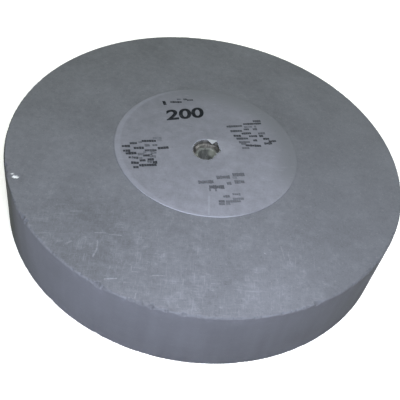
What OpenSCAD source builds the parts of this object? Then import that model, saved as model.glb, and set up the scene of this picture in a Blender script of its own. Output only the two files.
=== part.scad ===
// Bench grinding wheel lying flat on its rear face, with paper washers and nested reducing bushes.
// Millimetres. +Z runs up the wheel's axis, and the origin is on that axis at the resting surface.

/* [Abrasive wheel] */
// Outside diameter of the abrasive wheel
wheel_d = 203.2; // [150:0.1:300]
// Thickness of the abrasive between its two flat faces
wheel_t = 38.1; // [16:0.1:60]
// Width of the bevel that handling has rubbed onto both outer corners
corner_wear = 0.5; // [0.2:0.1:2]

/* [Damage to the front face] */
// Radius of the nick knocked into the outer corner
nick_r = 2.4; // [1.5:0.1:4]
// Width of the larger of two flakes broken out near the rim
flake_w = 3.6; // [1:0.1:5]
// Depth of both flakes
flake_depth = 0.35; // [0.1:0.05:0.5]
// Distance from the rim to the middle of the larger flake
flake_inset = 4.3; // [3.5:0.1:20]

/* [Arbor hole, from the spindle outwards] */
// Bore of the inner reducing bush, where the spindle passes
spindle_d = 9.525; // [6:0.005:16]
// Wall of the inner reducing bush, ribs included
inner_wall = 1.5875; // [0.8:0.0125:3]
// Wall of the outer reducing bush, ribs included
outer_wall = 1.5875; // [0.8:0.0125:3]
// Wall of the cast lining, between the arbor hole and the abrasive
lining_wall = 3.2; // [1.5:0.1:8]
// Distance that the lining is trimmed below each flat face
lining_trim = 0.3; // [0.1:0.1:0.5]

/* [Reducing bushes] */
// Depth of the outer reducing bush below each flat face
outer_recess = 2.5; // [0.6:0.1:4]
// Depth of the inner reducing bush below each flat face
inner_recess = 4; // [0.6:0.1:5]
// Number of crush ribs round each reducing bush
rib_count = 8; // [4:1:12]
// Width of a crush rib
rib_w = 1.2; // [0.6:0.1:2]
// Height of a crush rib, which reaches the hole that holds the bush
rib_h = 0.25; // [0.1:0.05:0.4]
// Bevel on the end edges of the reducing bushes
bush_bevel = 0.3; // [0.1:0.05:0.6]

/* [Paper washers] */
// Diameter of both paper washers
paper_d = 95.25; // [60:0.05:140]
// Thickness of both paper washers
paper_t = 0.6; // [0.3:0.05:1.2]
// Distance that the rear washer's punched hole stands back from the arbor hole
punch_gap = 0.4; // [0.1:0.1:3]
// Sideways offset of the front washer, which is stuck on a little off centre
front_paper_x = -1; // [-3:0.1:3]
// Backwards offset of the front washer
front_paper_y = 1; // [-3:0.1:3]

/* [Torn hole in the front washer] */
// Depth of the ragged teeth along the tear
tear_depth = 0.35; // [0.1:0.05:0.6]
// Reach of the paper left across the hole, inwards from the arbor hole's edge
leaf_reach = 2.5; // [0.8:0.1:2.6]
// Direction of the middle of that paper
leaf_angle = -27; // [-60:1:0]
// Reach of the small tongue, inwards from the arbor hole's edge
tongue_reach = 2.7; // [1:0.1:2.8]
// Width of the tongue where it leaves the washer
tongue_w = 4.6; // [2:0.1:6]
// Direction of the tongue
tongue_angle = 66; // [40:1:100]
// Angle at which the tongue is turned up
tongue_lift = 14; // [4:1:40]

/* [Hidden] */

$fn = 96;
wheel_fn = 180;
// Cutting shapes run this far past what they cut.
past = 1;

wheel_r = wheel_d / 2;
spindle_r = spindle_d / 2;
middle_r = spindle_r + inner_wall;
arbor_r = middle_r + outer_wall;
lining_r = arbor_r + lining_wall;
rear_z = paper_t;
front_z = rear_z + wheel_t;

// The nick's centre stands off the corner by this share of its radius, so that only its skirt bites.
nick_angle = -54;
nick_off = 0.35;

// Flakes: direction in degrees, distance from the rim and width.
flake_angle = -152;
flake_turn = -1.4;
small_flake_w = flake_w * 0.6;
FLAKES = [
    [flake_angle, flake_inset, flake_w],
    [flake_angle + flake_turn, flake_inset - small_flake_w / 2, small_flake_w]
];

// The tear follows the arbor hole with two waves, one inside the other.
tear_step = 5;
slow_wave = 5;
fast_wave = 17;
function tear_r(a) = arbor_r - tear_depth * (0.5 + 0.3 * sin(slow_wave * a) + 0.2 * sin(fast_wave * a));

abrasive_colour = "#6f737b";
lining_colour = "#7c7a78";
outer_bush_colour = "#74756f";
inner_bush_colour = "#666b66";
front_paper_colour = "#868a95";
rear_paper_colour = "#8b8f98";

// Bevelled wheel blank, revolved from its half section.
module wheel_blank() {
    rotate_extrude($fn = wheel_fn)
        polygon([
            [lining_r, 0],
            [wheel_r - corner_wear, 0],
            [wheel_r, corner_wear],
            [wheel_r, wheel_t - corner_wear],
            [wheel_r - corner_wear, wheel_t],
            [lining_r, wheel_t]
        ]);
}

module corner_nick() {
    rotate([0, 0, nick_angle])
        translate([wheel_r + nick_off * nick_r, 0, wheel_t + nick_off * nick_r])
            sphere(r = nick_r, $fn = 32);
}

// Shallow dish: the sphere whose cap has the flake's width and depth.
module face_flake(direction, inset, width) {
    dish_r = (pow(width / 2, 2) + pow(flake_depth, 2)) / (2 * flake_depth);
    rotate([0, 0, direction])
        translate([wheel_r - inset, 0, wheel_t + dish_r - flake_depth])
            sphere(r = dish_r, $fn = 48);
}

module abrasive_wheel() {
    color(abrasive_colour)
        translate([0, 0, rear_z])
            difference() {
                wheel_blank();
                corner_nick();
                for (flake = FLAKES) face_flake(flake[0], flake[1], flake[2]);
            }
}

// Tube between two radii, with its ends bevelled inside and out.
module bevelled_tube(inner_r, outer_r, low_z, high_z) {
    bevel = min(bush_bevel, (outer_r - inner_r) / 3);
    rotate_extrude()
        polygon([
            [inner_r + bevel, low_z],
            [outer_r - bevel, low_z],
            [outer_r, low_z + bevel],
            [outer_r, high_z - bevel],
            [outer_r - bevel, high_z],
            [inner_r + bevel, high_z],
            [inner_r, high_z - bevel],
            [inner_r, low_z + bevel]
        ]);
}

module arbor_lining() {
    color(lining_colour)
        translate([0, 0, rear_z + lining_trim])
            difference() {
                cylinder(r = lining_r, h = wheel_t - 2 * lining_trim);
                translate([0, 0, -past])
                    cylinder(r = arbor_r, h = wheel_t - 2 * lining_trim + 2 * past);
            }
}

// Moulded sleeve whose crush ribs grip the hole that it is pushed into.
module reducing_bush(bore_r, hole_r, recess) {
    low_z = rear_z + recess;
    high_z = front_z - recess;
    sleeve_r = hole_r - rib_h;
    bevelled_tube(bore_r, sleeve_r, low_z, high_z);
    intersection() {
        bevelled_tube((bore_r + sleeve_r) / 2, hole_r, low_z, high_z);
        for (i = [0 : rib_count - 1])
            rotate([0, 0, i * 360 / rib_count])
                translate([0, -rib_w / 2, low_z])
                    cube([hole_r + past, rib_w, high_z - low_z]);
    }
}

module outer_reducing_bush() {
    color(outer_bush_colour)
        reducing_bush(middle_r, arbor_r, outer_recess);
}

module inner_reducing_bush() {
    color(inner_bush_colour)
        reducing_bush(spindle_r, middle_r, inner_recess);
}

// What was torn away: a ragged circle, cut short by a straight edge where paper is left.
module torn_away() {
    intersection() {
        linear_extrude(height = paper_t + 2 * past)
            polygon([
                for (a = [0 : tear_step : 360 - tear_step])
                    tear_r(a) * [cos(a), sin(a)]
            ]);
        rotate([0, 0, leaf_angle])
            translate([-2 * arbor_r, -2 * arbor_r, 0])
                cube([3 * arbor_r - leaf_reach, 4 * arbor_r, paper_t + 2 * past]);
    }
}

// Triangle of paper that hinges on a chord of the tear and rises towards its tip.
module tongue() {
    hinge_x = sqrt(pow(arbor_r, 2) - pow(tongue_w / 2, 2)) - tear_depth;
    rotate([0, 0, tongue_angle]) {
        translate([hinge_x, -tongue_w / 2, 0])
            cube([arbor_r + past - hinge_x, tongue_w, paper_t]);
        translate([hinge_x, 0, 0])
            rotate([0, tongue_lift, 0])
                linear_extrude(height = paper_t)
                    polygon([
                        [0, -tongue_w / 2],
                        [0, tongue_w / 2],
                        [arbor_r - tongue_reach - hinge_x, 0]
                    ]);
    }
}

module front_paper_washer() {
    color(front_paper_colour)
        translate([0, 0, front_z]) {
            difference() {
                translate([front_paper_x, front_paper_y, 0])
                    cylinder(d = paper_d, h = paper_t, $fn = wheel_fn);
                translate([0, 0, -past]) torn_away();
            }
            tongue();
        }
}

module rear_paper_washer() {
    color(rear_paper_colour)
        difference() {
            cylinder(d = paper_d, h = paper_t, $fn = wheel_fn);
            translate([0, 0, -past])
                cylinder(r = arbor_r + punch_gap, h = paper_t + 2 * past);
        }
}

abrasive_wheel();
arbor_lining();
outer_reducing_bush();
inner_reducing_bush();
front_paper_washer();
rear_paper_washer();
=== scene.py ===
"""Looks of the bench grinding wheel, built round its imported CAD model.

Metres. The wheel lies flat on its rear face, +Z runs up its axis, and the photograph looks at its front face.
"""

import math

import bmesh
import bpy
import numpy as np
from mathutils import Matrix, Vector, noise


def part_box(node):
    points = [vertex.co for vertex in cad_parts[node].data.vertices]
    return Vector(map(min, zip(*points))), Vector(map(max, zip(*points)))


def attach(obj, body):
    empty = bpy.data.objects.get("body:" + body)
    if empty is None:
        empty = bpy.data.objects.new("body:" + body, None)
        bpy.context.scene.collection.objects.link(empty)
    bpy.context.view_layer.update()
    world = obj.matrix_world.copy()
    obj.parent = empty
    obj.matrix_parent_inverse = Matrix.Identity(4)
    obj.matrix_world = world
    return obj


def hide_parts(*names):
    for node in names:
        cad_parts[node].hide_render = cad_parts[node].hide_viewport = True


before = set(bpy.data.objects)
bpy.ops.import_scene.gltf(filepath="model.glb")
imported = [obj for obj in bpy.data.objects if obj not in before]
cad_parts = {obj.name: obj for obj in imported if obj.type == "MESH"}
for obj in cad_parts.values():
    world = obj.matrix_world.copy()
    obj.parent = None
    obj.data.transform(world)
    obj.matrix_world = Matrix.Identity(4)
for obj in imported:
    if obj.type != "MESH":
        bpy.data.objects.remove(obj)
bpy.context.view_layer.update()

MM = 0.001

# Sizes that the frame gives
wheel_low, wheel_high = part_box("abrasive_wheel")
RIM = wheel_high.x
REAR, FACE = wheel_low.z, wheel_high.z
THICKNESS = FACE - REAR
paper_low, paper_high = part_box("front_paper_washer")
PAPER_CENTRE = (paper_low + paper_high) / 2
PAPER_RADIUS = (paper_high.x - paper_low.x) / 2
PAPER_THICK = REAR
PAPER_TOP = FACE + PAPER_THICK
LINING_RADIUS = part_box("arbor_lining")[1].x
ARBOR_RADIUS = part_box("outer_reducing_bush")[1].x

# Sizes that the part's source also holds
CORNER_WEAR = 0.5 * MM
NICK_RADIUS = 2.4 * MM
NICK_ANGLE = math.radians(-54)
NICK_OFF = 0.35
FLAKE_WIDTH = 3.6 * MM
FLAKE_DEPTH = 0.35 * MM
FLAKE_INSET = 4.3 * MM
FLAKE_ANGLE = math.radians(-152)
SMALL_FLAKE_TURN = math.radians(-1.4)
SMALL_FLAKE_SHARE = 0.6
LEAF_REACH = 2.5 * MM
LEAF_ANGLE = math.radians(-27)


class Socket:
    """A node's output, on which arithmetic adds Math nodes."""

    def __init__(self, tree, link):
        self.tree = tree
        self.link = link

    def __add__(self, other):
        return self.tree.math("ADD", self, other)

    def __radd__(self, other):
        return self.tree.math("ADD", other, self)

    def __sub__(self, other):
        return self.tree.math("SUBTRACT", self, other)

    def __rsub__(self, other):
        return self.tree.math("SUBTRACT", other, self)

    def __mul__(self, other):
        return self.tree.math("MULTIPLY", self, other)

    def __rmul__(self, other):
        return self.tree.math("MULTIPLY", other, self)

    def __truediv__(self, other):
        return self.tree.math("DIVIDE", self, other)

    def __abs__(self):
        return self.tree.math("ABSOLUTE", self)

    def __gt__(self, other):
        return self.tree.math("GREATER_THAN", self, other)


class Tree:
    """A shader or geometry node tree, whose nodes all come from one method."""

    def __init__(self, node_tree):
        self.nodes = node_tree.nodes
        self.links = node_tree.links

    @staticmethod
    def pick(sockets, key):
        """A socket by its number, by its name, or the first one in use."""
        if isinstance(key, int):
            return sockets[key]
        return next(s for s in sockets if s.enabled and key in (None, s.name))

    def node(self, kind, settings=None, sockets=None, output=None):
        """Adds a node: its settings first, then the values or links of its sockets."""
        made = self.nodes.new(kind)
        for name, value in (settings or {}).items():
            setattr(made, name, value)
        for key, value in (sockets or {}).items():
            target = self.pick(made.inputs, key)
            if isinstance(value, Socket):
                self.links.new(value.link, target)
            else:
                target.default_value = value
        if len(made.outputs) > 0:
            return Socket(self, self.pick(made.outputs, output))

    def math(self, operation, *values):
        return self.node("ShaderNodeMath", {"operation": operation}, dict(enumerate(values)))

    def vector(self, operation, *values, **named):
        sockets = dict(enumerate(values))
        sockets.update(named)
        return self.node("ShaderNodeVectorMath", {"operation": operation}, sockets)

    def join(self, x=0.0, y=0.0, z=0.0):
        return self.node("ShaderNodeCombineXYZ", None, {"X": x, "Y": y, "Z": z})

    def split(self, vector):
        return [self.node("ShaderNodeSeparateXYZ", None, {"Vector": vector}, axis) for axis in "XYZ"]

    def ease(self, value, low, high):
        """0 below low, 1 above high, and smooth between them; low may be the larger."""
        sockets = {"Value": value, "From Min": low, "From Max": high}
        return self.node("ShaderNodeMapRange", {"interpolation_type": "SMOOTHSTEP"}, sockets)

    def lumps(self, vector, size, detail=2.0, roughness=0.5):
        """Soft noise from 0 to 1, in lumps about size across."""
        sockets = {"Vector": vector, "Scale": 1 / size, "Detail": detail, "Roughness": roughness}
        return self.node("ShaderNodeTexNoise", None, sockets, "Fac")

    def cells(self, vector, size, output="Color"):
        """One random colour for each grain of that size, or the distance to its middle."""
        return self.node("ShaderNodeTexVoronoi", None, {"Vector": vector, "Scale": 1 / size}, output)

    def mix(self, share, first, second):
        """A colour that goes from first to second."""
        settings = {"data_type": "RGBA", "clamp_factor": True}
        return self.node("ShaderNodeMix", settings, {"Factor": share, "A": first, "B": second}, "Result")


# Shader maths that more than one finish uses


def finish_tree(name):
    material = bpy.data.materials.new(name)
    material.use_nodes = True
    material.node_tree.nodes.clear()
    return material, Tree(material.node_tree)


def end_finish(t, colour, roughness, height, depth, specular=0.4):
    """Ends a finish in a Principled surface whose bumps stand depth metres high."""
    normal = t.node("ShaderNodeBump", None, {"Height": height, "Distance": depth, "Strength": 1.0})
    sockets = {
        "Base Color": colour,
        "Roughness": roughness,
        "Normal": normal,
        "Specular IOR Level": specular,
    }
    surface = t.node("ShaderNodeBsdfPrincipled", None, sockets)
    t.node("ShaderNodeOutputMaterial", None, {"Surface": surface})


def speck(t, vector, size):
    """A random number from 0 to 1 for each grain."""
    return t.split(t.cells(vector, size))[0]


def stored(t, name):
    """A number that the mesh keeps for each of its points."""
    return t.node("ShaderNodeAttribute", {"attribute_name": name}, None, "Fac")


def spot(t, place, centre, reach, full):
    """1 within full of the centre and 0 beyond reach, all in millimetres."""
    distance = t.vector("DISTANCE", place, tuple(c * MM for c in centre))
    return t.ease(distance, reach * MM, full * MM)


def scratch(t, flat, start, end, width):
    """1 along the straight line from start to end, fading over width to each side, all in millimetres."""
    start, end = Vector((*start, 0)) * MM, Vector((*end, 0)) * MM
    along = end - start
    from_start = t.vector("SUBTRACT", flat, tuple(start))
    share = t.vector("DOT_PRODUCT", from_start, tuple(along / along.length_squared))
    share = t.node("ShaderNodeClamp", None, {"Value": share})
    nearest = t.vector("SCALE", tuple(along), Scale=share)
    distance = t.vector("DISTANCE", from_start, nearest)
    return t.ease(distance, width * MM, 0.2 * width * MM)


def streaks(t, vector, angle, length, width, share):
    """Fine straight marks in one direction, over about that share of the surface."""
    settings = {"rotation_type": "Z_AXIS"}
    turned = t.node("ShaderNodeVectorRotate", settings, {"Vector": vector, "Angle": -angle})
    squeezed = t.vector("MULTIPLY", turned, (1 / length, 1 / width, 1 / width))
    level = t.lumps(squeezed, 1.0, 1.0)
    return t.ease(level, 0.78 - 0.4 * share, 0.86 - 0.4 * share)


# Marks on the front face, in millimetres: both ends of each pale scratch, its half width and its strength
SCRATCHES = [
    ((-31.8, -92.1), (-27.0, -90.6), 0.45, 1.0),
    ((-12.6, -85.3), (-7.4, -84.3), 0.35, 0.7),
    ((-22.4, -82.6), (-21.8, -85.4), 0.30, 0.6),
    ((-21.8, -85.4), (-19.0, -85.2), 0.30, 0.6),
    ((-17.5, -96.0), (-17.4, -98.4), 0.45, 0.6),
    ((-39.7, -72.8), (-38.8, -77.3), 0.45, 0.5),
    ((-38.8, -77.3), (-39.4, -81.6), 0.60, 0.8),
    ((-42.0, -68.8), (-37.2, -67.7), 0.35, 0.7),
    ((-35.5, -68.1), (-30.3, -67.3), 0.38, 0.8),
    ((-62.9, -57.1), (-59.3, -56.0), 0.40, 0.3),
    ((-55.7, -59.4), (-50.6, -58.0), 0.45, 0.45),
    ((-55.2, -61.3), (-52.2, -60.4), 0.40, 0.3),
    ((-66.3, -75.7), (-62.2, -74.3), 0.45, 0.4),
    ((-56.3, -77.6), (-54.3, -76.9), 0.50, 0.5),
    ((-46.0, -49.0), (-43.0, -47.5), 0.30, 0.3),
    ((-52.5, -78.0), (-50.5, -76.0), 0.55, 0.5),
    ((-2.0, -95.0), (3.5, -93.6), 0.25, 0.5),
    ((41.4, -54.7), (43.6, -61.6), 0.35, 0.4),
    ((45.0, -57.5), (46.4, -63.6), 0.35, 0.5),
    ((48.6, -59.3), (48.7, -65.0), 0.35, 0.3),
    ((57.0, -56.5), (57.4, -63.0), 0.35, 0.3),
    ((34.3, -60.7), (34.8, -60.9), 0.55, 1.0),
]


def grey_abrasive():
    """Fired grit: fine specks and pores, clouding, chalky scuffs, and darker breaks at the corners, with
    painted shade along the corners, low on the wall and at the wall's left end, and pale flakes whose near
    white is partly a painted glint.
    """
    material, t = finish_tree("grey_abrasive")
    place = t.node("ShaderNodeTexCoord", None, None, "Object")
    x, y, z = t.split(place)
    flat = t.join(x, y)
    radius = t.vector("LENGTH", flat)
    on_wall = t.ease(radius, RIM - 0.9 * MM, RIM - 0.3 * MM)
    on_face = 1 - on_wall

    grit = speck(t, place, 0.42 * MM)
    coarse = speck(t, place, 1.1 * MM)
    cloud = t.lumps(place, 3.5 * MM, 3.0)
    drift = t.lumps(place, 22 * MM, 2.0)
    # The wall is trued smooth, so its grain shows less, and the face is cleaner towards the right.
    open_grain = 1 - 0.75 * on_wall
    calm = t.ease(x, 10 * MM, 75 * MM)
    clouding = 0.25 * (cloud - 0.5) * (1 - 0.6 * calm)
    tone = 0.5 + (0.09 * (grit - 0.5) + 0.05 * (coarse - 0.5) + clouding) * open_grain
    tone = tone + 0.3 * (drift - 0.5)
    handled = spot(t, flat, (-48, -70, 0), 46, 12)
    oiled = spot(t, flat, (76, -48, 0), 45, 10)
    bleached = t.ease(0.9 * x - abs(y), -50 * MM, -90 * MM) + t.ease(0.9 * (x + y), 70 * MM, 110 * MM)
    bleached = bleached + 1.5 * spot(t, flat, (44, -76, 0), 36, 8)
    tone = tone + on_face * (0.07 * bleached - 0.13 * handled - 0.04 * oiled)

    upright = t.lumps(t.vector("MULTIPLY", place, (1.0, 1.0, 0.12)), 7 * MM, 2.0)
    trued = t.lumps(t.vector("MULTIPLY", place, (0.04, 0.04, 1.0)), 0.6 * MM, 1.0)
    wall_tone = 0.22 * (upright - 0.5) + 0.05 * (trued - 0.5) + 0.1 * handled
    # The wall is painted darker towards its rear face, as shade near the floor.
    tone = tone + on_wall * (wall_tone + 0.12 * t.ease(z, REAR, FACE) - 0.06)

    # Chalky rubbing, which is thickest on the front and left of the face and under the front corner
    toward_front = t.ease(x * 0.12 - y, 12 * MM, 90 * MM)
    rubbed = t.ease(t.lumps(place, 6 * MM, 4.0, 0.6), 0.46, 0.72)
    fine = streaks(t, place, math.radians(8), 6 * MM, 0.35 * MM, 0.5)
    across = streaks(t, place, math.radians(96), 5 * MM, 0.4 * MM, 0.5)
    off_middle = abs(z - (REAR + THICKNESS / 2))
    near_corner = t.ease(off_middle, THICKNESS / 2 - 7 * MM, THICKNESS / 2)
    chalk = rubbed * (0.25 + 0.75 * toward_front) * (on_face + on_wall * near_corner)
    lines = t.math("MAXIMUM", fine, across) * (0.15 + 0.85 * toward_front) * (0.4 + 0.6 * rubbed)
    tone = tone + 0.17 * chalk * (1 - 0.25 * calm)
    tone = tone + (0.27 * lines * (1 - 0.7 * calm) - 0.05 * toward_front) * on_face

    grain = t.mix(t.ease(tone, -0.15, 1.35), (0.068, 0.071, 0.078, 1), (0.245, 0.256, 0.292, 1))
    pore = t.ease(speck(t, place, 0.7 * MM), 0.06, 0.02)
    grain = t.mix(pore * open_grain * 0.12, grain, (0.035, 0.037, 0.04, 1))
    crystal = t.ease(speck(t, place, 0.5 * MM), 0.975, 0.985)
    grain = t.mix(crystal * open_grain * 0.06, grain, (0.5, 0.52, 0.56, 1))

    marks = 0.0
    for start, end, width, strength in SCRATCHES:
        marks = t.math("MAXIMUM", marks, strength * scratch(t, flat, start, end, width))
    on_front = z > FACE - 0.3 * MM
    broken = t.ease(t.lumps(place, 0.9 * MM, 1.0), 0.3, 0.6)
    marks = marks * on_front * (0.35 + 0.65 * broken)
    grain = t.mix(marks * 0.36, grain, (0.42, 0.44, 0.50, 1))

    # Corners: dust, a painted dark shade along them that deepens to the right, and a patchy painted contact
    # shadow round the rear one
    from_corner = (RIM - radius) + (THICKNESS / 2 - off_middle)
    dusty = t.ease(from_corner, 1.6 * MM, 0.5 * MM) * t.ease(t.lumps(place, 1.4 * MM, 2.0), 0.4, 0.62)
    grain = t.mix(dusty * 0.06, grain, (0.27, 0.285, 0.325, 1))
    corner_shade = t.ease(from_corner, 0.9 * MM, 0.3 * MM) * (0.3 + 0.25 * t.ease(x, 50 * MM, 95 * MM))
    grain = t.mix(corner_shade, grain, (0.08, 0.085, 0.095, 1))
    rear_contact_shadow = t.ease(z, 7 * MM, 0.5 * MM) * t.ease(t.lumps(place, 9 * MM, 3.0), 0.35, 0.7)
    grain = t.mix(rear_contact_shadow * 0.35, grain, (0.06, 0.066, 0.066, 1))
    # Painted shade down the wall at the left; then the fresh breaks, and the flakes, pale from their chipped
    # faces and near white from a painted glint
    from_left_shade = t.vector("DISTANCE", flat, (-92.5 * MM, -42 * MM, 0)) + 10 * MM * (upright - 0.5)
    left_wall_shade = t.ease(from_left_shade, 28 * MM, 10 * MM) * on_wall
    grain = t.mix(left_wall_shade * 0.9, grain, (0.05, 0.055, 0.05, 1))
    fresh = stored(t, "fresh")
    grain = t.mix(fresh * (0.3 + 0.25 * grit), grain, (0.08, 0.085, 0.095, 1))
    grain = t.mix(stored(t, "flake"), grain, (0.86, 0.88, 0.92, 1))

    bumps = t.cells(place, 0.42 * MM, "Distance") * -0.7 + 0.5 * t.lumps(place, 1.2 * MM, 3.0)
    bumps = bumps - pore * 0.9 - marks * 0.3 + fresh * 0.4 * coarse
    roughness = 0.93 - 0.12 * crystal - 0.1 * on_wall
    end_finish(t, grain, roughness, bumps * open_grain, 0.05 * MM, 0.25)
    return material


def blotting_paper(name, printed):
    """Soft board with fibres and handling marks; the printed washer has a tint and a white core too."""
    material, t = finish_tree(name)
    place = t.node("ShaderNodeTexCoord", None, None, "Object")
    x, y, _ = t.split(place)
    flat = t.join(x, y)
    fibres = t.lumps(t.vector("MULTIPLY", place, (1.0, 0.22, 1.0)), 0.35 * MM, 3.0, 0.6)
    crossed = t.lumps(t.vector("MULTIPLY", place, (0.2, 1.0, 1.0)), 0.4 * MM, 3.0, 0.6)
    cloud = t.lumps(place, 5 * MM, 3.0)
    drift = t.lumps(place, 26 * MM, 2.0)
    tone = 0.5 + 0.3 * (fibres - 0.5) + 0.3 * (crossed - 0.5) + 0.45 * (cloud - 0.5) + 0.3 * (drift - 0.5)
    # Paler towards the right
    tone = tone + 0.14 * (t.ease(x + 0.3 * y, -40 * MM, 40 * MM) - 0.5)
    colour = t.mix(t.ease(tone, -0.1, 1.1), (0.12, 0.125, 0.143, 1), (0.285, 0.293, 0.341, 1))
    if printed:
        colour = t.mix(t.ease(y, -50 * MM, 50 * MM) * 0.37, colour, (0.13, 0.135, 0.155, 1))
        # The tint stops short of the paper's edge at the left and front, where the bare margin shows.
        tint_centre = (PAPER_CENTRE.x + 2.4 * MM, PAPER_CENTRE.y + 0.6 * MM, 0)
        from_tint = t.vector("DISTANCE", flat, tint_centre)
        ragged = 0.5 * MM * (t.lumps(place, 2.5 * MM, 2.0) - 0.5)
        margin = t.ease(from_tint + ragged, PAPER_RADIUS - 1.1 * MM, PAPER_RADIUS)
        colour = t.mix(margin * 0.3, colour, (0.27, 0.28, 0.33, 1))
        # Grit dust hides the far and right-hand edges.
        from_centre = t.vector("DISTANCE", flat, (PAPER_CENTRE.x, PAPER_CENTRE.y, 0))
        away = t.ease(0.7 * x + 0.85 * y, 2 * MM, 32 * MM)
        drifted = from_centre + 4 * MM * (cloud - 0.5)
        dusted = away * t.ease(drifted, PAPER_RADIUS - 16 * MM, PAPER_RADIUS - 2 * MM)
        colour = t.mix(dusted * 0.88, colour, (0.146, 0.153, 0.17, 1))
        # A fold, painted as a pale highlight along its lip.
        crease_highlight = scratch(t, flat, (4.8, -33.3), (6.3, -44.8), 0.7)
        colour = t.mix(crease_highlight * 0.14, colour, (0.42, 0.44, 0.5, 1))
        scuffed = spot(t, flat, (7, 2.5, 0), 10, 2)
        colour = t.mix(scuffed * (0.05 + 0.3 * cloud), colour, (0.36, 0.37, 0.42, 1))
        # The pale core shows along the tear, and on the outer edge only at the front.
        at_front = spot(t, flat, (-2, -47, 0), 46, 10)
        on_edge = t.ease(from_centre, PAPER_RADIUS - 1 * MM, PAPER_RADIUS - 0.3 * MM)
        core = stored(t, "core") * (1 - on_edge * (1 - 0.6 * at_front))
        colour = t.mix(core, colour, (0.46, 0.48, 0.52, 1))
    scuffs = streaks(t, place, math.radians(14), 5 * MM, 0.4 * MM, 0.35)
    scuffs = scuffs * t.ease(t.lumps(place, 8 * MM, 2.0), 0.45, 0.65)
    colour = t.mix(scuffs * 0.3, colour, (0.33, 0.34, 0.39, 1))
    fleck = t.ease(speck(t, place, 0.8 * MM), 0.035, 0.01)
    colour = t.mix(fleck * 0.1, colour, (0.07, 0.07, 0.075, 1))
    height = 0.5 * fibres + 0.5 * crossed + 0.8 * cloud
    end_finish(t, colour, 0.94 + 0.04 * (cloud - 0.5), height, 0.06 * MM, 0.2)
    return material


def printing_ink():
    """Dark ink, rubbed thin in places."""
    material, t = finish_tree("washer_ink")
    place = t.node("ShaderNodeTexCoord", None, None, "Object")
    rubbed = t.ease(t.lumps(place, 1.3 * MM, 3.0, 0.6), 0.42, 0.68)
    patchy = t.ease(t.lumps(place, 9 * MM, 2.0), 0.4, 0.7)
    bare = rubbed * (0.04 + 0.2 * patchy) + (1 - stored(t, "weight"))
    ink = t.mix(t.lumps(place, 0.5 * MM), (0.005, 0.006, 0.008, 1), (0.016, 0.018, 0.022, 1))
    colour = t.mix(bare, ink, (0.19, 0.197, 0.228, 1))
    end_finish(t, colour, 0.85 + 0.1 * bare, rubbed, 0.02 * MM, 0.12)
    return material


# Painted shade in the arbor hole, in millimetres: its place from the middle of the front face, reach and
# share
PAINTED_SHADE_SPOTS = [
    ((-7.9, 0, -2), 3.6, 0.9),
    ((4.2, 4.6, -2.8), 2.6, 0.6),
]


def dusty_moulding(name, dark, pale, glue=0.0):
    """Moulded plastic under grinding dust, with runs down the walls; painted shade at two sides, on up-facing
    faces and further in, and a painted lit patch on one wall.

    glue is the share of a pale line of paste just below the front washer.
    """
    material, t = finish_tree(name)
    place = t.node("ShaderNodeTexCoord", None, None, "Object")
    z = t.split(place)[2]
    from_face = t.vector("SUBTRACT", place, (0, 0, FACE))
    up = t.split(t.node("ShaderNodeNewGeometry", None, None, "Normal"))[2]
    facing_up = t.ease(up, 0.2, 0.9)
    cloud = t.lumps(place, 1.6 * MM, 4.0, 0.6)
    dust = t.ease(cloud + 0.25 * facing_up, 0.42, 0.72)
    runs = t.ease(t.lumps(t.vector("MULTIPLY", place, (1.0, 1.0, 0.12)), 1.2 * MM, 2.0), 0.35, 0.65)
    colour = t.mix(dust * 0.6 + 0.4 * runs, (*dark, 1), (*pale, 1))
    # Up-facing faces painted darker, as shade.
    colour = t.mix(facing_up * 0.35, colour, (*dark, 1))
    band = t.ease(abs(z - (FACE - 1.5 * MM)), 0.65 * MM, 0.3 * MM)
    colour = t.mix(band * glue, colour, (0.25, 0.26, 0.265, 1))
    colour = t.mix(t.ease(speck(t, place, 0.4 * MM), 0.1, 0.04) * 0.5, colour, (0.04, 0.045, 0.04, 1))
    colour = t.mix(t.ease(runs, 0.7, 0.2) * 0.4, colour, (0.05, 0.055, 0.05, 1))
    # A pale patch painted on the wall at the right and back of the hole, as light falling there.
    painted_lit_patch = spot(t, from_face, (2.6, 4, -6), 3.6, 1.4)
    colour = t.mix(painted_lit_patch * (0.4 + 0.6 * cloud), colour, (0.4, 0.425, 0.365, 1))
    for centre, reach, share in PAINTED_SHADE_SPOTS:
        painted_shade = spot(t, from_face, centre, reach, 0.45 * reach)
        colour = t.mix(painted_shade * share, colour, (0.01, 0.01, 0.01, 1))
    # Painted shade, darker further into the hole.
    colour = t.mix(t.ease(z, FACE - 10 * MM, FACE - 18 * MM) * 0.4, colour, (0.02, 0.024, 0.02, 1))
    height = 0.6 * dust + 0.4 * t.lumps(place, 0.3 * MM, 3.0)
    end_finish(t, colour, 0.62 + 0.3 * dust, height, 0.05 * MM, 0.4)
    return material


def pale_floor():
    """Matt white board, which glows a little so that it stays near white."""
    material, t = finish_tree("pale_floor")
    place = t.node("ShaderNodeTexCoord", None, None, "Object")
    cloud = t.lumps(place, 0.3, 3.0)
    colour = t.mix(cloud, (0.86, 0.86, 0.86, 1), (0.9, 0.9, 0.9, 1))
    sockets = {
        "Base Color": colour,
        "Roughness": 0.9,
        "Specular IOR Level": 0.1,
        "Emission Color": (1, 1, 1, 1),
        "Emission Strength": 0.52,
    }
    surface = t.node("ShaderNodeBsdfPrincipled", None, sockets)
    t.node("ShaderNodeOutputMaterial", None, {"Surface": surface})
    return material


# Meshes


def new_object(name, mesh):
    piece = bpy.data.objects.new(name, mesh)
    bpy.context.scene.collection.objects.link(piece)
    return piece


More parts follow.
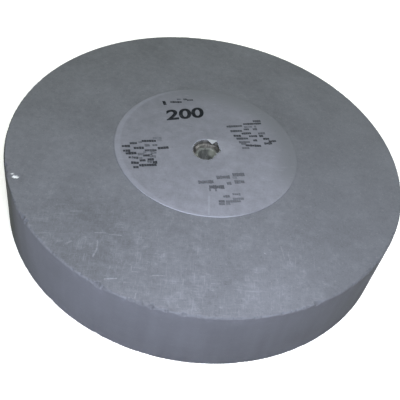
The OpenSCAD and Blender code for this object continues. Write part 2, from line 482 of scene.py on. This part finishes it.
def ring_mesh(name, rows):
    """A closed tube from rows[row][step] of points, joined up in both directions."""
    count, steps = rows.shape[:2]
    row, step = np.meshgrid(np.arange(count), np.arange(steps), indexing="ij")
    next_row, next_step = (row + 1) % count, (step + 1) % steps
    ring = [(row, step), (next_row, step), (next_row, next_step), (row, next_step)]
    faces = np.stack([(r * steps + s).ravel() for r, s in ring], axis=1)
    mesh = bpy.data.meshes.new(name)
    mesh.from_pydata(rows.reshape(-1, 3).tolist(), [], faces.tolist())
    return mesh


def slab_mesh(name, top, bottom):
    """A closed sheet from two matching grids of points."""
    across, along = top.shape[:2]
    size = across * along
    faces = []
    for i in range(across - 1):
        for j in range(along - 1):
            a = i * along + j
            faces.append((a, a + along, a + along + 1, a + 1))
            faces.append((size + a, size + a + 1, size + a + along + 1, size + a + along))
    edge = [(i, 0) for i in range(across)] + [(across - 1, j) for j in range(1, along)]
    edge += [(i, along - 1) for i in range(across - 2, -1, -1)] + [(0, j) for j in range(along - 2, 0, -1)]
    for (i, j), (k, m) in zip(edge, edge[1:] + edge[:1]):
        a, b = i * along + j, k * along + m
        faces.append((a, size + a, size + b, b))
    mesh = bpy.data.meshes.new(name)
    mesh.from_pydata(np.concatenate([top.reshape(-1, 3), bottom.reshape(-1, 3)]).tolist(), [], faces)
    return mesh


def tidy_normals(mesh, sharp=35):
    """Turns every face outwards and smooths all but the sharp edges."""
    form = bmesh.new()
    form.from_mesh(mesh)
    bmesh.ops.recalc_face_normals(form, faces=form.faces)
    form.to_mesh(mesh)
    form.free()
    mesh.shade_smooth()
    mesh.set_sharp_from_angle(angle=math.radians(sharp))


def store(mesh, name, values):
    """Keeps a number for each point of the mesh."""
    attribute = mesh.attributes.new(name, "FLOAT", "POINT")
    attribute.data.foreach_set("value", np.asarray(values, np.float32).ravel())


def wave(angle, size, seed):
    """Repeatable noise from -1 to 1 round a circle, with ripples about size radians long."""
    return np.array([noise.noise(Vector((math.cos(a) / size, math.sin(a) / size, seed))) for a in angle])


# Geometry Nodes


def geometry_group(name, inputs):
    """A geometry tree with named number inputs: the group, its tree, its geometry and its inputs."""
    group = bpy.data.node_groups.new(name, "GeometryNodeTree")
    group.interface.new_socket("Geometry", in_out="INPUT", socket_type="NodeSocketGeometry")
    group.interface.new_socket("Geometry", in_out="OUTPUT", socket_type="NodeSocketGeometry")
    for label in inputs:
        group.interface.new_socket(label, in_out="INPUT", socket_type="NodeSocketFloat")
    g = Tree(group)
    entry = group.nodes.new("NodeGroupInput")
    return group, g, *[Socket(g, entry.outputs[label]) for label in ["Geometry", *inputs]]


def keep(g, geometry, name, value, kind="FLOAT"):
    """Stores a value for each point under a name."""
    settings = {"data_type": kind, "domain": "POINT"}
    sockets = {"Geometry": geometry, "Name": name, "Value": value}
    return g.node("GeometryNodeStoreNamedAttribute", settings, sockets, "Geometry")


def kept(g, name, kind="FLOAT"):
    """The value that each point has under a name."""
    return g.node("GeometryNodeInputNamedAttribute", {"data_type": kind}, {"Name": name}, "Attribute")


def move(g, geometry, offset):
    return g.node("GeometryNodeSetPosition", None, {"Geometry": geometry, "Offset": offset})


def uneven(g, low, high, seed, kind="FLOAT"):
    """A random value between low and high for each point."""
    sockets = {"Min": low, "Max": high, "Seed": seed}
    return g.node("FunctionNodeRandomValue", {"data_type": kind}, sockets, "Value")


def end_group(g, geometry, material):
    """Every tree ends with its instances made real and its finish set."""
    real = g.node("GeometryNodeRealizeInstances", None, {"Geometry": geometry})
    dressed = g.node("GeometryNodeSetMaterial", None, {"Geometry": real, "Material": material})
    g.node("NodeGroupOutput", None, {"Geometry": dressed})


def grow(piece, group, values):
    """Runs a geometry tree on a piece and keeps the outcome as its plain mesh."""
    modifier = piece.modifiers.new(group.name, "NODES")
    modifier.node_group = group
    for item in group.interface.items_tree:
        if item.in_out == "INPUT" and item.name in values:
            modifier[item.identifier] = values[item.name]
    graph = bpy.context.evaluated_depsgraph_get()
    mesh = bpy.data.meshes.new_from_object(piece.evaluated_get(graph), depsgraph=graph)
    piece.modifiers.remove(modifier)
    piece.data = mesh
    return piece


# The wheel


def spaced(stops):
    """Numbers from each stop to the next, at the spacing given with it."""
    numbers = []
    for (low, spacing), (high, _) in zip(stops, stops[1:]):
        count = max(1, round(abs(high - low) / spacing))
        numbers += list(np.linspace(low, high, count, endpoint=False))
    return numbers + [stops[-1][0]]


def wheel_blank():
    """The whole wheel before wear, with close rows where it will be chipped."""
    bevel = CORNER_WEAR
    front = spaced([
        (LINING_RADIUS, 13 * MM),
        (RIM - 8 * MM, 0.6 * MM),
        (RIM - 2 * MM, 0.25 * MM),
        (RIM - bevel, 0),
    ])
    wall = spaced([
        (FACE - bevel, 0.25 * MM),
        (FACE - 3 * MM, 6 * MM),
        (REAR + 3 * MM, 0.3 * MM),
        (REAR + bevel, 0),
    ])
    rear = spaced([
        (RIM - bevel, 0.3 * MM),
        (RIM - 2 * MM, 1 * MM),
        (RIM - 5 * MM, 20 * MM),
        (LINING_RADIUS, 0),
    ])
    bevel_share = (1 / 3, 2 / 3)
    profile = [(r, FACE) for r in front]
    profile += [(RIM - bevel * (1 - s), FACE - bevel * s) for s in bevel_share]
    profile += [(RIM, z) for z in wall]
    profile += [(RIM - bevel * s, REAR + bevel * (1 - s)) for s in bevel_share]
    profile += [(r, REAR) for r in rear]
    steps = 1260
    angle = np.arange(steps) * 2 * math.pi / steps
    rows = np.array([[r * np.cos(angle), r * np.sin(angle), np.full(steps, z)] for r, z in profile])
    return new_object("worn_abrasive_wheel", ring_mesh("worn_abrasive_wheel", rows.transpose(0, 2, 1)))


def wearing(material):
    """Geometry Nodes that nibble the corners, press in the nick and lift out the flakes."""
    group, g, geometry, rim, face, rear, wear, bite, seed = geometry_group(
        "worn_corners", ["Rim Radius", "Front Face", "Rear Face", "Corner Wear", "Bite", "Seed"]
    )
    whole = g.node("GeometryNodeInputPosition")
    geometry = keep(g, geometry, "whole", whole, "FLOAT_VECTOR")

    # Corners: a point closer to the corner than the local bite moves in along the diagonal.
    x, y, z = g.split(whole)
    outward = g.vector("NORMALIZE", g.join(x, y))
    middle = (face + rear) / 2
    side = g.math("SIGN", z - middle)
    from_corner = (rim - g.vector("LENGTH", g.join(x, y))) + ((face - rear) / 2 - abs(z - middle))
    round_rim = g.vector("ADD", g.vector("SCALE", outward, Scale=rim), g.join(z=side * 0.05 + seed))
    nibbles = g.ease(g.lumps(round_rim, 1.3 * MM, 2.0), 0.45, 0.8)
    chips = g.ease(g.lumps(round_rim, 6 * MM, 3.0), 0.52, 0.72)
    crumbs = g.lumps(whole, 0.7 * MM, 1.0) - 0.5
    most_handled = (0.6 + 0.4 * side) * g.ease(y, 40 * MM, -70 * MM)
    share = (0.08 + 0.92 * most_handled) * (0.5 * nibbles + 1.0 * chips)
    width = wear + bite * share * (1 + 0.9 * crumbs)
    cut = g.math("MAXIMUM", width - from_corner, 0.0) / 2
    inward = g.vector("SUBTRACT", g.vector("SCALE", outward, Scale=cut * -1), g.join(z=side * cut))
    geometry = move(g, geometry, inward)

    # The nick: whatever is inside a rough ball is pushed out to its surface.
    here = g.node("GeometryNodeInputPosition")
    nick_reach = rim + NICK_OFF * NICK_RADIUS
    nick_height = face + NICK_OFF * NICK_RADIUS
    centre = g.join(nick_reach * math.cos(NICK_ANGLE), nick_reach * math.sin(NICK_ANGLE), nick_height)
    from_centre = g.vector("SUBTRACT", here, centre)
    ball = NICK_RADIUS * (0.88 + 0.3 * g.lumps(here, 0.8 * MM, 2.0))
    depth = ball - g.vector("LENGTH", from_centre)
    push = g.vector("SCALE", g.vector("NORMALIZE", from_centre), Scale=g.math("MAXIMUM", depth, 0.0))
    geometry = move(g, geometry, push)

    # Flakes: shallow dishes in the face.
    here = g.node("GeometryNodeInputPosition")
    x, y, z = g.split(here)
    shed = 0.0
    for share, turn in ((1.0, 0.0), (SMALL_FLAKE_SHARE, SMALL_FLAKE_TURN)):
        angle = FLAKE_ANGLE + turn
        inset = FLAKE_INSET - (1 - share) * FLAKE_WIDTH * 0.75
        middle_x = (RIM - inset) * math.cos(angle)
        middle_y = (RIM - inset) * math.sin(angle)
        half = FLAKE_WIDTH * share / 2
        away = g.vector("LENGTH", g.join((x - middle_x) / half, (y - middle_y) / (half * 0.55)))
        away = away + 0.35 * (g.lumps(here, 0.9 * MM, 1.0) - 0.5)
        shed = g.math("MAXIMUM", shed, share * (1 - away * away))
    shed = shed * (z > face - 0.1 * MM)
    geometry = keep(g, geometry, "flake", g.ease(shed, 0.2, 0.5))
    geometry = move(g, geometry, g.join(z=shed * -FLAKE_DEPTH))

    # How far each point has moved tells where the grain is freshly broken.
    moved = g.vector("DISTANCE", g.node("GeometryNodeInputPosition"), kept(g, "whole", "FLOAT_VECTOR"))
    geometry = keep(g, geometry, "fresh", g.ease(moved, 0.03 * MM, 0.3 * MM))
    geometry = g.node("GeometryNodeRemoveAttribute", None, {"Geometry": geometry, "Name": "whole"})
    end_group(g, geometry, material)
    return group


def worn_wheel():
    piece = wheel_blank()
    values = {
        "Rim Radius": RIM,
        "Front Face": FACE,
        "Rear Face": REAR,
        "Corner Wear": CORNER_WEAR,
        "Bite": 2.0 * MM,
        "Seed": 0.4,
    }
    grow(piece, wearing(grey_abrasive()), values)
    tidy_normals(piece.data, 40)
    return piece


# The torn front washer


# The tear's course: direction in degrees, and distance from the axis in millimetres
TEAR = [
    (5, 6.6), (16, 6.4), (27, 6.0), (44, 6.6), (52, 6.9), (59, 7.9),
    (79, 7.3), (93, 6.9), (105, 7.1), (120, 7.3), (136, 7.5), (165, 7.9),
    (190, 8.2), (210, 8.7), (226, 9.0), (252, 8.9), (271, 8.1), (291, 7.4),
]


def tear_radius(angle):
    """Distance from the axis to the tear: a broad course, cut short by the straight leaf, with fine teeth."""
    directions, distances = zip(*TEAR)
    reach = np.interp(np.degrees(angle), directions, distances, period=360) * MM
    facing = np.cos(angle - LEAF_ANGLE)
    leaf = (ARBOR_RADIUS - LEAF_REACH) / np.maximum(facing, 0.05)
    edge = np.where(facing > 0.05, np.minimum(reach, leaf), reach)
    teeth = 0.16 * wave(angle, 0.10, 3.1) + 0.10 * wave(angle, 0.03, 7.7)
    return edge + teeth * MM


def torn_washer():
    """The front washer: flat card, thinned and pale along the tear, lifting a little at its left edge."""
    steps = 900
    angle = np.arange(steps) * 2 * math.pi / steps
    ray = np.stack([np.cos(angle), np.sin(angle)], axis=1)
    centre = np.array([PAPER_CENTRE.x, PAPER_CENTRE.y])
    inner = tear_radius(angle)
    along = ray @ centre
    outer = along + np.sqrt(along**2 + PAPER_RADIUS**2 - centre @ centre)
    outer = outer - 0.06 * MM * (0.5 + 0.5 * wave(angle, 0.02, 1.7))

    torn_band = (0.55 + 0.4 * wave(angle, 0.16, 5.2)) * MM
    curl = 0.16 * MM * np.maximum(wave(angle, 0.3, 9.4) + 0.25, 0)

    # Rows of points, in millimetres from the tear and then from the outer edge
    close = [0.0, 0.1, 0.2, 0.35, 0.5, 0.7, 0.95, 1.3, 1.8, 2.5, 3.5]
    far = [8.0, 14.0, 22.0, 30.0]
    margin = [5.0, 4.0, 3.0, 2.2, 1.6, 1.1, 0.7, 0.35, 0.1, 0.0]
    distances = [inner + d * MM for d in close + far] + [outer - d * MM for d in margin]

    def top(distance):
        from_tear = distance - inner
        from_edge = outer - distance
        thinned = np.clip(1 - from_tear / torn_band, 0, 1)
        raised = curl * np.exp(-from_tear / (1.2 * MM))
        rounded = 0.12 * MM * np.clip(1 - from_edge / (0.25 * MM), 0, 1) ** 2
        return PAPER_TOP + raised - 0.36 * MM * thinned - rounded, thinned

    def bottom(distance):
        raised = curl * np.exp(-(distance - inner) / (1.2 * MM))
        return FACE + 0.9 * raised

    rows, core = [], []
    for distance in distances:
        height, thinned = top(distance)
        rows.append(np.column_stack([ray * distance[:, None], height]))
        core.append(0.17 * np.clip(thinned * 1.6, 0, 1))
    core[-1] = np.ones(steps)
    underside = [
        (outer, 1),
        (outer - 3 * MM, 1),
        (inner + 3 * MM, 0.3),
        (inner + 0.5 * MM, 0.3),
        (inner, 0.3),
    ]
    for distance, paleness in underside:
        rows.append(np.column_stack([ray * distance[:, None], bottom(distance)]))
        core.append(np.full(steps, paleness))
    mesh = ring_mesh("torn_front_washer", np.array(rows))
    store(mesh, "core", np.array(core))
    return mesh


def torn_flap(name, left, right, tip, lift, paleness, seed):
    """A scrap of card still hinged between left and right, whose tip stands lift above the washer's top."""
    across, along = 25, 15
    left, right, tip = (np.array(p) * MM for p in (left, right, tip))
    top = np.zeros((across, along, 3))
    for i in range(across):
        u = i / (across - 1)
        root = left * (1 - u) + right * u
        for j in range(along):
            v = j / (along - 1)
            ragged = noise.noise(Vector((u * 9, v * 3, seed)))
            reach = min(v * (1 + 0.16 * ragged), 1.0)
            spot = root * (1 - reach) + tip * reach
            spot = spot + 0.12 * MM * np.array([ragged, noise.noise(Vector((u * 7, v * 4, seed + 5)))]) * v
            rise = lift * v**1.4 + 0.03 * math.sin(math.pi * v) * (0.5 + u)
            top[i, j] = (spot[0], spot[1], PAPER_TOP + rise * MM)
    bottom = top.copy()
    bottom[:, :, 2] -= 0.22 * MM
    mesh = slab_mesh(name, top, bottom)
    store(mesh, "core", np.full(len(mesh.vertices), paleness))
    return mesh


def joined(name, meshes):
    """One mesh from several, with their stored numbers kept."""
    pieces = [new_object(f"{name}_{i}", mesh) for i, mesh in enumerate(meshes)]
    with bpy.context.temp_override(active_object=pieces[0], selected_editable_objects=pieces):
        bpy.ops.object.join()
    pieces[0].name = name
    return pieces[0]


def front_washer(paper):
    """The torn card, its turned-up tongue and a small scrap beside it, as one piece."""
    flaps = [
        torn_flap("tongue", (-2.0, 7.2), (3.6, 7.6), (1.35, 3.8), 0.25, 0.75, 2.0),
        torn_flap("scrap", (5.0, 5.1), (6.6, 1.9), (5.2, 3.4), 0.1, 0.15, 4.0),
    ]
    piece = joined("torn_front_washer", [torn_washer(), *flaps])
    piece.data.materials.clear()
    piece.data.materials.append(paper)
    tidy_normals(piece.data, 50)
    return piece


def fibre_growth(paper):
    """Geometry Nodes that set a bent hair of paper on each point of the tear."""
    group, g, geometry, length, thick = geometry_group("tear_fibres", ["Length", "Thickness"])
    hair = g.node(
        "GeometryNodeMeshCone",
        {"fill_type": "TRIANGLE_FAN"},
        {"Vertices": 5, "Side Segments": 4, "Radius Top": 0.15, "Radius Bottom": 0.5, "Depth": 1.0},
        "Mesh",
    )
    along = g.split(g.node("GeometryNodeInputPosition"))[2]
    hair = move(g, hair, g.join(x=2.8 * along * along))
    scatter = uneven(g, (-0.8, -0.8, -0.5), (0.8, 0.8, 0.35), 11, "FLOAT_VECTOR")
    heading = g.vector("ADD", kept(g, "inward", "FLOAT_VECTOR"), scatter)
    aim = g.node("FunctionNodeAlignRotationToVector", {"axis": "Z"}, {"Vector": heading})
    size = g.join(thick, thick, length * uneven(g, 0.25, 1.0, 12))
    hairs = g.node(
        "GeometryNodeInstanceOnPoints",
        None,
        {"Points": geometry, "Instance": hair, "Rotation": aim, "Scale": size},
    )
    end_group(g, hairs, paper)
    return group


def tear_fibres(paper):
    """Loose hairs that stand out of the torn edge."""
    count = 260
    angle = np.sort(np.random.default_rng(5).uniform(0, 2 * math.pi, count))
    distance = tear_radius(angle) + 0.08 * MM
    height = np.random.default_rng(6).uniform(0.1, 0.45, count) * MM + FACE
    points = np.column_stack([distance * np.cos(angle), distance * np.sin(angle), height])
    mesh = bpy.data.meshes.new("tear_fibres")
    mesh.from_pydata(points.tolist(), [], [])
    inward = mesh.attributes.new("inward", "FLOAT_VECTOR", "POINT")
    inward.data.foreach_set("vector", np.column_stack([-np.cos(angle), -np.sin(angle), 0 * angle]).ravel())
    piece = new_object("tear_fibres", mesh)
    grow(piece, fibre_growth(paper), {"Length": 0.9 * MM, "Thickness": 0.07 * MM})
    store(piece.data, "core", np.ones(len(piece.data.vertices)))
    return piece


# The print on the front washer: plain blocks where the words were, and a plain size number

PRINT_TILT = math.radians(25)
INK_THICK = 0.02 * MM
# Blocks of print, in millimetres: letter height and spacing, then both ends and the ink of each word
PRINT_BLOCKS = [
    (1.5, 1.3, [
        ((-25.8, 31.1), (-19.6, 33.1), 0.9), ((-22.7, 34.5), (-20.6, 35.2), 0.6),
        ((-19.3, 35.6), (-17.4, 36.4), 0.85), ((-17.2, 35.6), (-13.9, 36.9), 0.75),
    ]),
    (1.75, 1.3, [
        ((-29.3, -0.6), (-24.9, 0.8), 0.35), ((-39.8, -8.0), (-36.2, -6.7), 0.85),
        ((-34.3, -4.5), (-27.2, -2.2), 0.88), ((-43.2, -11.2), (-39.1, -9.9), 0.86),
        ((-32.2, -7.3), (-25.9, -5.1), 0.6), ((-37.1, -10.8), (-32.1, -9.1), 0.88),
        ((-25.4, -7.4), (-20.1, -5.1), 0.88), ((-41.8, -14.3), (-38.2, -13.2), 0.88),
        ((-31.4, -10.9), (-25.6, -9.0), 0.8), ((-40.1, -15.9), (-34.9, -13.9), 0.9),
        ((-34.3, -14.6), (-30.9, -13.5), 0.5), ((-28.2, -11.7), (-25.2, -10.9), 0.5),
        ((-38.1, -18.1), (-33.2, -17.1), 0.8), ((-31.4, -14.8), (-26.9, -13.2), 0.9),
        ((-32.3, -18.9), (-29.5, -17.7), 0.86), ((-28.7, -16.9), (-25.6, -15.9), 0.9),
        ((-36.1, -21.4), (-32.3, -20.6), 0.88), ((-28.6, -18.4), (-26.2, -17.8), 0.6),
        ((-25.9, -18.1), (-23.6, -17.4), 0.88), ((-31.9, -22.2), (-23.6, -19.3), 0.88),
        ((-34.4, -24.3), (-31.7, -23.5), 0.88), ((-35.7, -6.0), (-33.9, -5.1), 0.5),
        ((-27.3, -0.3), (-24.8, 0.8), 0.2), ((-26.9, -1.6), (-24.5, -0.7), 0.25),
        ((-36.7, -17.6), (-35.1, -17.5), 0.6), ((-32.8, -17.3), (-31.3, -16.8), 0.5),
        ((-31.9, -12.2), (-28.7, -11.7), 0.4), ((-28.2, -14.1), (-24.9, -13.6), 0.5),
    ]),
    (1.65, 1.2, [
        ((20.5, 29.2), (24.8, 30.7), 0.75), ((15.6, 25.1), (25.3, 28.8), 0.8),
        ((7.0, 20.2), (15.2, 23.5), 0.75), ((16.3, 22.8), (22.8, 25.4), 0.45),
        ((16.3, 20.9), (19.2, 21.8), 0.8), ((20.0, 22.1), (23.5, 23.4), 0.65),
        ((9.5, 17.2), (15.6, 19.4), 0.8), ((15.6, 17.0), (20.6, 19.1), 0.85),
        ((24.3, 19.9), (28.1, 21.3), 0.6), ((11.5, 14.0), (15.5, 15.2), 0.9),
        ((19.7, 16.2), (27.2, 18.8), 0.85), ((13.3, 12.2), (19.4, 14.3), 0.75),
        ((27.4, 16.4), (30.6, 17.5), 0.9), ((14.9, 9.8), (20.7, 11.8), 0.6),
        ((22.2, 13.5), (24.3, 14.3), 0.8), ((30.5, 15.2), (34.4, 16.9), 0.85),
        ((16.1, 9.1), (19.0, 9.7), 0.55), ((28.2, 12.9), (32.4, 14.3), 0.9),
        ((18.6, 8.5), (26.8, 10.5), 0.85), ((17.0, 5.8), (20.9, 7.0), 0.55),
    ]),
    (2.3, 1.0, [
        ((-1.7, -25.4), (5.6, -22.9), 0.55), ((6.6, -19.6), (13.2, -17.3), 0.55),
        ((14.2, -15.4), (20.2, -13.4), 0.55), ((14.4, -17.2), (16.7, -16.5), 0.3),
        ((12.2, -22.3), (14.4, -21.4), 0.5), ((15.8, -20.2), (20.7, -18.5), 0.55),
        ((4.0, -27.1), (11.3, -25.0), 0.65), ((4.2, -28.9), (7.9, -27.8), 0.45),
    ]),
    (1.5, 1.0, [
        ((15.7, -28.7), (19.7, -27.7), 0.45), ((11.5, -31.6), (14.7, -30.4), 0.53),
        ((16.3, -31.8), (21.6, -30.1), 0.41), ((9.8, -35.3), (12.7, -34.5), 0.61),
        ((13.2, -34.5), (20.3, -32.2), 0.45), ((10.1, -37.0), (12.9, -36.2), 0.53),
        ((13.4, -36.0), (15.5, -35.3), 0.37),
    ]),
]


def print_to_wheel():
    """From the print's own upright frame to its place on the washer."""
    return Matrix.Translation((0, 0, PAPER_TOP)) @ Matrix.Rotation(PRINT_TILT, 4, "Z")


def block_setting(ink):
    """Geometry Nodes that fill each word with blocks of uneven size, and leave some out."""
    group, g, geometry, thick, gaps = geometry_group("print_words", ["Thickness", "Gaps"])
    tall, pitch, turn = kept(g, "tall"), kept(g, "pitch"), kept(g, "turn")
    words = g.node("GeometryNodeMeshToCurve", None, {"Mesh": geometry})
    # A little less than the pitch, so that rounding never loses a word's last block.
    words = g.node("GeometryNodeResampleCurve", {"mode": "LENGTH"}, {"Curve": words, "Length": pitch * 0.99})
    letters = g.node("GeometryNodeCurveToPoints", {"mode": "EVALUATED"}, {"Curve": words}, "Points")
    chance = {"Probability": gaps, "Seed": 21}
    gone = g.node("FunctionNodeRandomValue", {"data_type": "BOOLEAN"}, chance, "Value")
    missing = {"Geometry": letters, "Selection": gone}
    letters = g.node("GeometryNodeDeleteGeometry", {"domain": "POINT"}, missing)
    wide = uneven(g, 0.88, 0.99, 22)
    high = uneven(g, 0.75, 1.1, 23)
    block = g.node("GeometryNodeMeshCube", None, {"Size": (1, 1, 1)}, "Mesh")
    blocks = g.node(
        "GeometryNodeInstanceOnPoints",
        None,
        {
            "Points": letters,
            "Instance": block,
            "Rotation": g.join(z=turn),
            # Thickness goes with height, so that where words meet no two tops lie in one plane.
            "Scale": g.join(pitch * wide, tall * high, thick * (0.5 + 0.5 * high)),
        },
    )
    end_group(g, blocks, ink)
    return group


def washer_print(ink):
    """Every word as a line from its first block's middle to its last one's, made into blocks."""
    points, words, tall, pitch, turn, weight = [], [], [], [], [], []
    for height, spacing, block in PRINT_BLOCKS:
        for start, end, strength in block:
            across = Vector(end) - Vector(start)
            count = max(2, round(across.length / spacing))
            words.append((len(points), len(points) + 1))
            for share in (0.5 / count, 1 - 0.5 / count):
                points.append((*((Vector(start) + across * share) * MM), PAPER_TOP + INK_THICK / 2))
            tall += [height * MM] * 2
            pitch += [across.length / count * MM] * 2
            turn += [math.atan2(end[1] - start[1], end[0] - start[0])] * 2
            weight += [strength] * 2
    mesh = bpy.data.meshes.new("washer_print")
    mesh.from_pydata(points, words, [])
    store(mesh, "tall", tall)
    store(mesh, "pitch", pitch)
    store(mesh, "turn", turn)
    store(mesh, "weight", weight)
    piece = new_object("washer_print", mesh)
    return grow(piece, block_setting(ink), {"Thickness": 2 * INK_THICK, "Gaps": 0.04})


def size_mark(ink):
    """The wheel's nominal size in plain bold numbers, and the small bar beside the first row."""
    letters = bpy.data.curves.new("size_mark", "FONT")
    letters.body = "200"
    letters.shear = 0.15
    letters.offset = 0.03
    letters.extrude = 1.0
    letters.resolution_u = 6
    text = new_object("size_mark_text", letters)
    graph = bpy.context.evaluated_depsgraph_get()
    mesh = bpy.data.meshes.new_from_object(text.evaluated_get(graph), depsgraph=graph)
    bpy.data.objects.remove(text)
    points = np.array([v.co for v in mesh.vertices])
    low, high = points.min(0), points.max(0)
    number_size = (22.0 * MM, 8.4 * MM, 2 * INK_THICK)
    number_place = (-5.0 * MM, 28.5 * MM, INK_THICK / 2)
    points = (points - (low + high) / 2) / (high - low) * number_size + number_place
    mesh.vertices.foreach_set("co", points.ravel())
    mesh.transform(print_to_wheel())
    piece = new_object("size_mark", mesh)
    form = bmesh.new()
    form.from_mesh(mesh)
    bar = bmesh.ops.create_cube(form, size=1.0)["verts"]
    bar_size = Matrix.Diagonal((1.7 * MM, 3.4 * MM, 2 * INK_THICK, 1))
    bar_place = Matrix.Translation((-13.6 * MM, 38.7 * MM, INK_THICK / 2))
    bmesh.ops.transform(form, matrix=print_to_wheel() @ bar_place @ bar_size, verts=bar)
    bmesh.ops.remove_doubles(form, verts=form.verts, dist=0.001 * MM)
    bmesh.ops.recalc_face_normals(form, faces=form.faces)
    form.to_mesh(mesh)
    form.free()
    mesh.materials.clear()
    mesh.materials.append(ink)
    store(mesh, "weight", np.ones(len(mesh.vertices)))
    return piece


# Camera, light and floor


def set_camera():
    """Fitted to the wheel's outline and to the edge of its front face."""
    data = bpy.data.cameras.new("camera")
    data.sensor_width = 36
    data.lens = 58.65
    data.clip_start = 0.01
    camera = new_object("camera", data)
    eye = Vector((0, -0.25067, 0.26445))
    target = Vector((0.0009, -0.03632, 0.0387))
    roll = math.radians(11.8)
    aim = (target - eye).to_track_quat("-Z", "Y").to_matrix().to_4x4()
    camera.matrix_world = Matrix.Translation(eye) @ aim @ Matrix.Rotation(roll, 4, "Z")
    bpy.context.scene.camera = camera


def soft_light(name, place, target, size, watts, colour):
    """A round lamp at a place, turned to a target, that the camera doesn't see."""
    data = bpy.data.lights.new(name, "AREA")
    data.shape = "DISK"
    data.size = size
    data.energy = watts
    data.color = colour
    lamp = new_object(name, data)
    place, target = Vector(place), Vector(target)
    aim = (target - place).to_track_quat("-Z", "Y").to_matrix().to_4x4()
    lamp.matrix_world = Matrix.Translation(place) @ aim
    lamp.visible_camera = False
    return lamp


def set_light():
    high = soft_light("high_light", (0.06, -0.26, 0.36), (0.04, -0.12, 0.0), 0.14, 0.68, (0.83, 0.85, 1.0))
    high.data.spread = math.radians(100)
    low = soft_light("low_light", (-0.18, -0.45, 0.10), (-0.03, -0.1, 0.02), 0.12, 0.054, (0.79, 0.83, 1.0))
    low.data.spread = math.radians(40)
    # Lower than the front face, so that it reaches nothing but the back of the wall
    back = soft_light("back_light", (0.0, 0.4, 0.019), (0.0, 0.0, 0.019), 0.42, 0.9, (0.9, 0.93, 1.0))
    back.data.shape = "RECTANGLE"
    back.data.size_y = 0.034
    world = bpy.data.worlds.new("room")
    bpy.context.scene.world = world
    world.use_nodes = True
    world.node_tree.nodes.clear()
    w = Tree(world.node_tree)
    up = w.split(w.node("ShaderNodeTexCoord", None, None, "Generated"))[2]
    strength = 0.7 * w.ease(up, 0.35, 0.65)
    room = w.node("ShaderNodeBackground", None, {"Color": (0.935, 1.0, 0.79, 1), "Strength": strength})
    seen = w.node("ShaderNodeBackground", None, {"Color": (1, 1, 1, 1), "Strength": 1.0})
    straight = w.node("ShaderNodeLightPath", None, None, "Is Camera Ray")
    both = w.node("ShaderNodeMixShader", None, {"Fac": straight, 1: room, 2: seen})
    w.node("ShaderNodeOutputWorld", None, {"Surface": both})


def lay_floor():
    across = 4.0
    form = bmesh.new()
    bmesh.ops.create_grid(form, x_segments=1, y_segments=1, size=across / 2)
    mesh = bpy.data.meshes.new("floor")
    form.to_mesh(mesh)
    form.free()
    mesh.materials.append(pale_floor())
    floor = new_object("floor", mesh)
    floor.visible_diffuse = False
    return floor


def set_colours():
    settings = bpy.context.scene.view_settings
    settings.view_transform = "Standard"
    settings.look = "None"


def dress(node, material):
    """Gives a CAD node a better finish and leaves its mesh alone."""
    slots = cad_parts[node].data.materials
    slots.clear()
    slots.append(material)


set_camera()
set_light()
set_colours()
floor = lay_floor()

wheel = worn_wheel()
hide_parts("abrasive_wheel")
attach(wheel, "root")

front_paper = blotting_paper("front_paper", True)
washer = front_washer(front_paper)
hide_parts("front_paper_washer")
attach(washer, "root")

ink = printing_ink()
for extra in (tear_fibres(front_paper), washer_print(ink), size_mark(ink)):
    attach(extra, "root")

dress("arbor_lining", dusty_moulding("cast_lining", (0.105, 0.103, 0.095), (0.23, 0.225, 0.21), 0.5))
dress("outer_reducing_bush", dusty_moulding("outer_bush", (0.2, 0.195, 0.175), (0.31, 0.3, 0.28)))
dress("inner_reducing_bush", dusty_moulding("inner_bush", (0.14, 0.15, 0.138), (0.24, 0.255, 0.235)))
dress("rear_paper_washer", blotting_paper("rear_paper", False))
